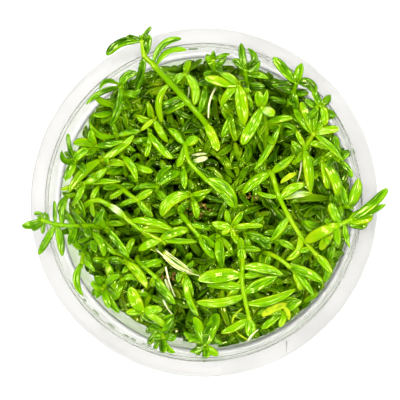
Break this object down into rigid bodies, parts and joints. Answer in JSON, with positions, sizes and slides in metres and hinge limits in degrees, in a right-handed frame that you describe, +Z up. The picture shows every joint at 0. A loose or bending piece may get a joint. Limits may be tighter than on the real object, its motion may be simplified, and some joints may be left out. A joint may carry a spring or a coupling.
{
  "type": "aquarium plant in a culture cup",
  "caption": "Clear round culture cup packed with slender green aquarium stem plants, narrow paired leaves rising from a gel bed, some leaning out over the flange.",
  "frame": {"origin": "centre of the cup's flat underside", "axes": "+Z up out of the cup's mouth, +X to the picture's right, +Y to the picture's top"},
  "size_m": [0.0933, 0.09, 0.0556],
  "materials": {
    "cup": "clear, faintly milky moulded plastic, smooth, flat flange with a turned edge",
    "gel": "cloudy brown-green nutrient gel, wet",
    "undergrowth": "close-packed dark green stems and small leaves",
    "leaf": "smooth living leaf and stem, waxy gloss, lime to dark green, pale midrib",
    "straw": "dead leaf, root and straw bits, cream to ochre, dull"
  },
  "bodies": {
    "root": {"cup": "cup", "gel": "gel", "undergrowth": "undergrowth", "shoot_01": "leaf", "shoot_02": "leaf", "shoot_03": "leaf", "shoot_04": "leaf", "shoot_05": "leaf", "shoot_06": "leaf", "shoot_07": "leaf", "shoot_08": "leaf", "shoot_09": "leaf", "shoot_10": "leaf", "shoot_11": "leaf", "shoot_12": "leaf", "shoot_13": "leaf", "shoot_14": "leaf", "shoot_15": "leaf", "shoot_16": "leaf", "shoot_17": "leaf", "shoot_18": "leaf", "shoot_19": "leaf", "shoot_20": "leaf", "shoot_21": "leaf", "shoot_22": "leaf", "shoot_23": "leaf", "shoot_24": "leaf", "shoot_25": "leaf", "shoot_26": "leaf", "shoot_27": "leaf", "shoot_28": "leaf", "shoot_29": "leaf", "shoot_30": "leaf", "shoot_31": "leaf", "shoot_32": "leaf", "shoot_33": "leaf", "shoot_34": "leaf", "shoot_35": "leaf", "shoot_36": "leaf", "shoot_37": "leaf", "shoot_38": "leaf", "shoot_39": "leaf", "shoot_40": "leaf", "shoot_41": "leaf", "shoot_42": "leaf", "shoot_43": "leaf", "shoot_44": "leaf", "shoot_45": "leaf", "shoot_46": "leaf", "shoot_47": "leaf", "shoot_48": "leaf", "shoot_49": "leaf", "shoot_50": "leaf", "shoot_51": "leaf", "shoot_52": "leaf", "shoot_53": "leaf", "shoot_54": "leaf", "shoot_55": "leaf", "shoot_56": "leaf"}
  },
  "joints": []
}
